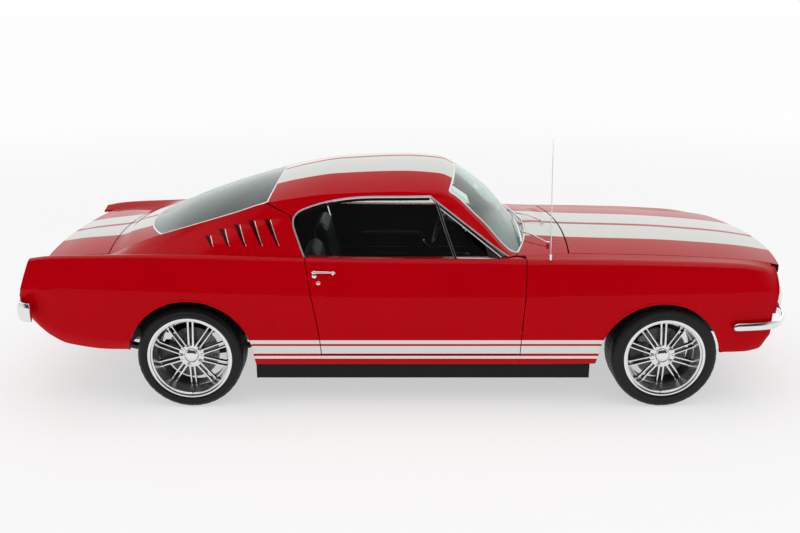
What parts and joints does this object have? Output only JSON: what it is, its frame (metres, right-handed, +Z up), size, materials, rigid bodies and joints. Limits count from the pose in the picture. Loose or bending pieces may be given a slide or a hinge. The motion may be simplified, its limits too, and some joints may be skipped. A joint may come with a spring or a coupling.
{
  "type": "muscle car",
  "caption": "Two-door fastback muscle car, red with white stripes, with spinning wheels, steering, swinging doors, hood and trunk lid.",
  "frame": {"origin": "centre of the footprint on the road, under the middle of the overall length and width", "axes": "+X forwards along the car, +Y to its left, +Z up"},
  "size_m": [4.61, 1.732, 1.564],
  "materials": {
    "red_paint": "deep gloss red lacquer, white stripes on the top panels and rockers",
    "black_paint": "satin black underbody paint",
    "chrome": "polished chrome plate",
    "wheel_chrome": "polished alloy and chrome",
    "glass": "clear laminated glass with a faint green tint",
    "lamp_glass": "fluted clear lamp glass",
    "red_lens": "translucent red lens",
    "black_trim": "grained black trim",
    "black_vinyl": "grained black vinyl with sewn pleats",
    "cast_iron": "painted castings",
    "bare_steel": "dull bare steel",
    "tyre": "black road rubber"
  },
  "bodies": {
    "body": {"floor_pan": "black_paint", "rockers": "red_paint", "engine_bay": "black_paint", "cowl": "red_paint", "roof": "red_paint", "pillars": "red_paint", "quarter_right": "red_paint", "quarter_left": "red_paint", "deck_panel": "red_paint", "tail_panel": "red_paint", "fender_right": "red_paint", "fender_left": "red_paint", "lamp_buckets": "red_paint", "nose_panel": "red_paint", "grille": "chrome", "headlamps": "lamp_glass", "tail_lamps": "red_lens", "front_bumper": "chrome", "rear_bumper": "chrome", "windshield": "glass", "rear_window": "glass", "dashboard": "black_trim", "front_seats": "black_vinyl", "rear_seat": "black_vinyl", "engine": "cast_iron", "radiator": "black_paint", "rear_axle": "cast_iron", "front_suspension": "black_paint", "exhaust": "bare_steel", "fuel_tank": "bare_steel", "wipers": "chrome", "antenna": "chrome"},
    "hood": {"hood": "red_paint"},
    "trunk_lid": {"trunk_lid": "red_paint"},
    "door_right": {"door_right": "red_paint", "door_glass_right": "glass", "handle_right": "chrome"},
    "door_left": {"door_left": "red_paint", "door_glass_left": "glass", "handle_left": "chrome"},
    "knuckle_right": {"knuckle_right": "cast_iron"},
    "knuckle_left": {"knuckle_left": "cast_iron"},
    "steering_wheel": {"steering_wheel": "black_trim"},
    "wheel_front_right": {"rim_front_right": "wheel_chrome", "tyre_front_right": "tyre"},
    "wheel_front_left": {"rim_front_left": "wheel_chrome", "tyre_front_left": "tyre"},
    "wheel_rear_right": {"rim_rear_right": "wheel_chrome", "tyre_rear_right": "tyre"},
    "wheel_rear_left": {"rim_rear_left": "wheel_chrome", "tyre_rear_left": "tyre"}
  },
  "joints": [
    {"name": "hood_hinge", "type": "hinge", "parent": "body", "child": "hood", "pos_m": [0.93, 0, 0.916], "axis": [0, -1, 0], "range_deg": [0, 50]},
    {"name": "trunk_hinge", "type": "hinge", "parent": "body", "child": "trunk_lid", "pos_m": [-1.74, 0, 0.914], "axis": [0, 1, 0], "range_deg": [0, 75]},
    {"name": "door_right_hinge", "type": "hinge", "parent": "body", "child": "door_right", "pos_m": [0.756, -0.822, 0.556], "axis": [0, 0, 1], "range_deg": [0, 62]},
    {"name": "door_left_hinge", "type": "hinge", "parent": "body", "child": "door_left", "pos_m": [0.756, 0.822, 0.556], "axis": [0, 0, -1], "range_deg": [0, 62]},
    {"name": "steer_left", "type": "hinge", "parent": "body", "child": "knuckle_left", "pos_m": [1.478, 0.64, 0.306], "axis": [0, 0, 1], "range_deg": [-30, 30]},
    {"name": "steer_right", "type": "hinge", "parent": "body", "child": "knuckle_right", "pos_m": [1.478, -0.64, 0.306], "axis": [0, 0, 1], "range_deg": [-30, 30]},
    {"name": "steering_column", "type": "hinge", "parent": "body", "child": "steering_wheel", "pos_m": [0.278, 0.372, 0.838], "axis": [-0.9397, 0, 0.342], "range_deg": [-450, 450]},
    {"name": "spin_front_right", "type": "hinge", "parent": "knuckle_right", "child": "wheel_front_right", "pos_m": [1.478, -0.711, 0.306], "axis": [0, 1, 0], "continuous": true},
    {"name": "spin_front_left", "type": "hinge", "parent": "knuckle_left", "child": "wheel_front_left", "pos_m": [1.478, 0.711, 0.306], "axis": [0, 1, 0], "continuous": true},
    {"name": "spin_rear_right", "type": "hinge", "parent": "body", "child": "wheel_rear_right", "pos_m": [-1.265, -0.711, 0.306], "axis": [0, 1, 0], "continuous": true},
    {"name": "spin_rear_left", "type": "hinge", "parent": "body", "child": "wheel_rear_left", "pos_m": [-1.265, 0.711, 0.306], "axis": [0, 1, 0], "continuous": true}
  ],
  "couplings": [
    {"joint": "steer_right", "follows": "steer_left", "ratio": 1},
    {"joint": "steering_column", "follows": "steer_left", "ratio": 15}
  ]
}
